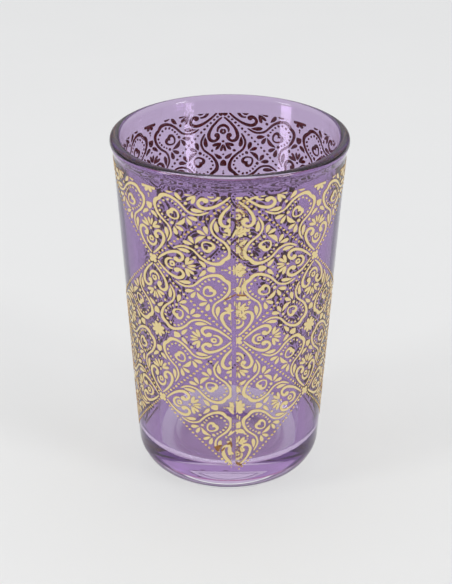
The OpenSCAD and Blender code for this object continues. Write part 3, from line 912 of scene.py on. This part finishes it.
class TEAGLASS_OT_fans(bpy.types.Operator):
    """Lay the fan of petals at each heart's mouth"""

    bl_idname = "teaglass.fans"
    bl_label = "Fans"

    def execute(self, context):
        sheet = Sheet(context.scene)
        petals = []
        for ends in FAN_PETALS:
            petals += both(leaf(*ends))
        sheet.at_corners(petals)
        chance = random.Random(12)
        (x, y, r), last = FAN_TIPS
        dots = [(x - SHEET_ROW, y, r) for x, y, r in (FAN_DOT, (x, y, r), last, (x, -y, r))]
        for lozenge in sheet.lozenges:
            sheet.dots_round(lozenge, dots, 0, chance)
        sheet.finish("fans")
        return {"FINISHED"}


class TEAGLASS_OT_scrolls(bpy.types.Operator):
    """Lay the scroll that rises from each side of a lozenge, and the dots inside it"""

    bl_idname = "teaglass.scrolls"
    bl_label = "Scrolls"

    def execute(self, context):
        sheet = Sheet(context.scene)
        sheet.at_sides([ribbon(whole(SCROLL))])
        sheet.finish("scrolls")
        sheet = Sheet(context.scene)
        chance = random.Random(13)
        dots = [(side * x, y - SIDE_AWAY, r) for x, y, r in SCROLL_DOTS for side in (-1, 1)]
        for lozenge in sheet.lozenges:
            sheet.dots_round(lozenge, dots, 0.5, chance)
        sheet.finish("scroll_dots")
        return {"FINISHED"}


class TEAGLASS_OT_seeds(bpy.types.Operator):
    """Lay the seed with a heart-shaped eye in each scroll, and the spray of leaves below it"""

    bl_idname = "teaglass.seeds"
    bl_label = "Seeds and sprays"

    def execute(self, context):
        sheet = Sheet(context.scene)
        rims = []
        for half in (SEED, SEED_EYE):
            half = smooth_line(half, 4)
            loop = half + [(-x, y) for x, y in half[-2:0:-1]]
            rims.append([(x, y + SEED_AT) for x, y in loop])
        sheet.at_sides([rims[::-1]], closed=True)
        sheet.finish("seeds")
        sheet = Sheet(context.scene)
        leaves = [ribbon(whole(CRESCENT))]
        for ends in SPRAY:
            leaves += both(leaf(*ends), -1, 1)
        sheet.at_sides(leaves)
        sheet.finish("sprays")
        return {"FINISHED"}


class TEAGLASS_OT_drops(bpy.types.Operator):
    """Lay the bud and drops between two scrolls, and the leaf in each scroll's end"""

    bl_idname = "teaglass.drops"
    bl_label = "Drops"

    def execute(self, context):
        sheet = Sheet(context.scene)
        half = smooth_line(BUD, 4)
        bud = (half, [(x, -y) for x, y in half])
        sheet.at_corners([bud] + both(leaf(*DROP_LEAF)) + both(leaf(*END_LEAF)))
        sheet.finish("drops")
        return {"FINISHED"}


class TEAGLASS_OT_rosettes(bpy.types.Operator):
    """Lay the rosette in the middle of each lozenge, with its ring of dots"""

    bl_idname = "teaglass.rosettes"
    bl_label = "Rosettes"

    def execute(self, context):
        sheet = Sheet(context.scene)
        chance = random.Random(14)
        for lozenge in sheet.lozenges:
            for lobe in range(8):
                sheet.island(lozenge, (lobe + 0.5) * math.pi / 4, *leaf(*ROSETTE_LOBE))
            sheet.dot(lozenge, 0, 0, 0, ROSETTE_R)
            sheet.dots_round(lozenge, [(away, 0, r) for away, r in ROSETTE_DOTS], 0, chance)
        sheet.finish("rosettes")
        return {"FINISHED"}


class TEAGLASS_OT_smears(bpy.types.Operator):
    """Lay the smeared and overfilled gold where the sheet's two ends meet"""

    bl_idname = "teaglass.smears"
    bl_label = "Smears at the seam"

    def execute(self, context):
        sheet = Sheet(context.scene)
        sheet.low_u = -1
        chance = random.Random(15)
        pitch, mm_to_degree = 0.42, 0.5
        for low_a, high_a, low_z, high_z, share in SEAM_RUBBED:
            for row in range(int((high_z - low_z) / pitch)):
                for place in range(int((high_a - low_a) * mm_to_degree / pitch) + 1):
                    a = low_a + (place + chance.uniform(-0.3, 0.3)) * pitch / mm_to_degree
                    z = low_z + (row + chance.uniform(-0.3, 0.3)) * pitch
                    half, slope = chance.uniform(0.1, 0.42), chance.uniform(-0.5, 0.5)
                    width = chance.uniform(0.0, 0.12)
                    bare = int(chance.random() < 0.45)
                    if chance.random() < share:
                        ends = (a - half, z - half * slope, a + half, z + half * slope, width)
                        self.stroke(sheet, ends, bare)
        for top, strokes in enumerate((SEAM_GOLD, SEAM_BARE)):
            for stroke in strokes:
                self.stroke(sheet, stroke, top)
        sheet.finish("smears", solid=False)
        return {"FINISHED"}

    def stroke(self, sheet, ends, top):
        """One stroke or dot at its angles and heights. top is 1 where it lost its gold and lies over the rest."""
        places, width = [], ends[-1]
        for angle, z in zip(ends[:-1:2], ends[1:-1:2]):
            a = math.radians(angle - 90)
            aside, up = sheet.pull(a, z)
            a -= aside / sheet.shape.wall_r(z)
            u, v = (a - sheet.first_a) / sheet.column_a, (z - up - sheet.crossing_top) / sheet.row_h
            places.append((u * SHEET_ROW, v * SHEET_ROW))
        if len(places) == 1:
            sheet.dot((0, 0), 0, *places[0], width / 2)
            return
        (x, y), (x_end, y_end) = places
        middle = ((x + x_end) / 2, (y + y_end) / 2, width)
        edges = ribbon([(x, y, width * 0.8), middle, (x_end, y_end, width * 0.7)])
        sheet.over += 0.01 * top
        sheet.island((0, 0), 0, *edges, top=top)
        sheet.over -= 0.01 * top


class TEAGLASS_OT_stage(bpy.types.Operator):
    """Set the table, the lights and the camera"""

    bl_idname = "teaglass.stage"
    bl_label = "Table, lights and camera"

    def execute(self, context):
        scene = context.scene
        studio, tones = scene.studio, scene.finishes
        table = lathe("table", [(r, -0.02) for r in (0, 80, 400, 4000)])
        made = material("table")
        open_tone = made.blend(made.speckle(0.02), list(tones.table), [c * 0.98 for c in tones.table])
        away = made.add("ShaderNodeVectorMath", {0: made.place()}, {"operation": "LENGTH"}, output=1) / MM
        # Painted shadow: the table is darker and purple within 14 to 19 mm of the axis, under the glass's foot
        tone = made.blend(away.between(14, 19), [c * t for c, t in zip(tones.table, (0.66, 0.5, 0.66))], open_tone)
        table.data.materials.append(made.close(made.add("ShaderNodeBsdfPrincipled", {
            "Base Color": tone, "Roughness": 0.75,
        })))
        scene.world = bpy.data.worlds.new("room")
        room = Finish(scene.world)
        up = room.add("ShaderNodeSeparateXYZ", {0: room.add("ShaderNodeTexCoord", output=0)}, output=2)
        tone = room.blend(up.between(0.05, 0.45), (0.3, 0.3, 0.3), (1.0, 1.0, 1.0))
        room.close(room.add("ShaderNodeBackground", {"Color": tone, "Strength": studio.world}))
        for name, angle in (("soft_lamp_left", -65), ("soft_lamp_right", 56)):
            self.lamp(name, angle, 30, 1500, 300, 640, studio.lamp)
        for name, angle, wide in (("strip_lamp_left", -70, 32), ("strip_lamp_right", 50, 28)):
            light = self.lamp(name, angle, 0, 130, wide, 70, 1.0)
            light.location.z = 0.036
            strip = Finish(light.data)
            mirrored, passed = strip.path("Glossy Depth").above(0.5), strip.path("Transmission Depth").above(0.5)
            seen = mirrored * passed * strip.path("Transparent Depth").below(1.5)
            dark, bright = (strip.add("ShaderNodeEmission", {"Strength": glow}) for glow in (0.0, studio.strip))
            strip.close(strip.mixed(seen, dark, bright))
        scene.camera = self.camera(studio)
        scene.view_settings.view_transform = "Standard"
        return {"FINISHED"}

    def lamp(self, name, angle, high, far, wide, tall, radiance):
        """A lamp that faces the glass, angle degrees to the right of the front, its sizes in millimetres."""
        light = bpy.data.lights.new(name, "AREA")
        light.shape, light.size, light.size_y = "RECTANGLE", wide * MM, tall * MM
        light.energy = radiance * math.pi * light.size * light.size_y
        lamp = placed(name, light)
        a, e = math.radians(angle), math.radians(high)
        aim = Vector((math.sin(a) * math.cos(e), -math.cos(a) * math.cos(e), math.sin(e)))
        lamp.location = aim * far * MM + Vector((0, 0, 0.05))
        lamp.rotation_euler = aim.to_track_quat("Z", "Y").to_euler()
        return lamp

    def camera(self, studio):
        """The camera, where the photograph was taken from."""
        data = bpy.data.cameras.new("camera")
        frame_high = 584
        data.lens, data.sensor_width = studio.lens, 36
        data.shift_x, data.shift_y = -3.13 / frame_high, 8.55 / frame_high
        data.clip_start, data.clip_end = 0.01, 20
        camera = placed("camera", data)
        e, far = studio.camera_high, studio.camera_far
        camera.location = (0, -far * math.cos(e), 0.049 + far * math.sin(e))
        tilt, roll = Euler((math.pi / 2 - e, 0, 0)).to_matrix(), Euler((0, 0, studio.roll)).to_matrix()
        camera.rotation_euler = (tilt @ roll).to_euler()
        return camera


MAKERS = (
    TEAGLASS_OT_tumbler, TEAGLASS_OT_coat, TEAGLASS_OT_lattice, TEAGLASS_OT_hearts, TEAGLASS_OT_fans,
    TEAGLASS_OT_scrolls, TEAGLASS_OT_seeds, TEAGLASS_OT_drops, TEAGLASS_OT_rosettes, TEAGLASS_OT_smears,
    TEAGLASS_OT_stage,
)


class TEAGLASS_PT_panel(bpy.types.Panel):
    """Lists the glass's pieces and their sizes"""

    bl_idname = "TEAGLASS_PT_panel"
    bl_label = "Tea glass"
    bl_space_type = "VIEW_3D"
    bl_region_type = "UI"
    bl_category = "Tea glass"

    def draw(self, context):
        for maker in MAKERS:
            self.layout.operator(maker.bl_idname)
        for name, group in GROUPS.items():
            box = self.layout.box()
            box.label(text=name.replace("_", " ").capitalize())
            for size in group.__annotations__:
                box.prop(getattr(context.scene, name), size)


def register():
    for name, group in GROUPS.items():
        bpy.utils.register_class(group)
        setattr(bpy.types.Scene, name, PointerProperty(type=group))
    for maker in (*MAKERS, TEAGLASS_PT_panel):
        bpy.utils.register_class(maker)


def unregister():
    for maker in (TEAGLASS_PT_panel, *reversed(MAKERS)):
        bpy.utils.unregister_class(maker)
    for name, group in reversed(GROUPS.items()):
        delattr(bpy.types.Scene, name)
        bpy.utils.unregister_class(group)


def main():
    register()
    for maker in MAKERS:
        getattr(bpy.ops.teaglass, maker.bl_idname.split(".")[1])()


if __name__ == "__main__":
    main()
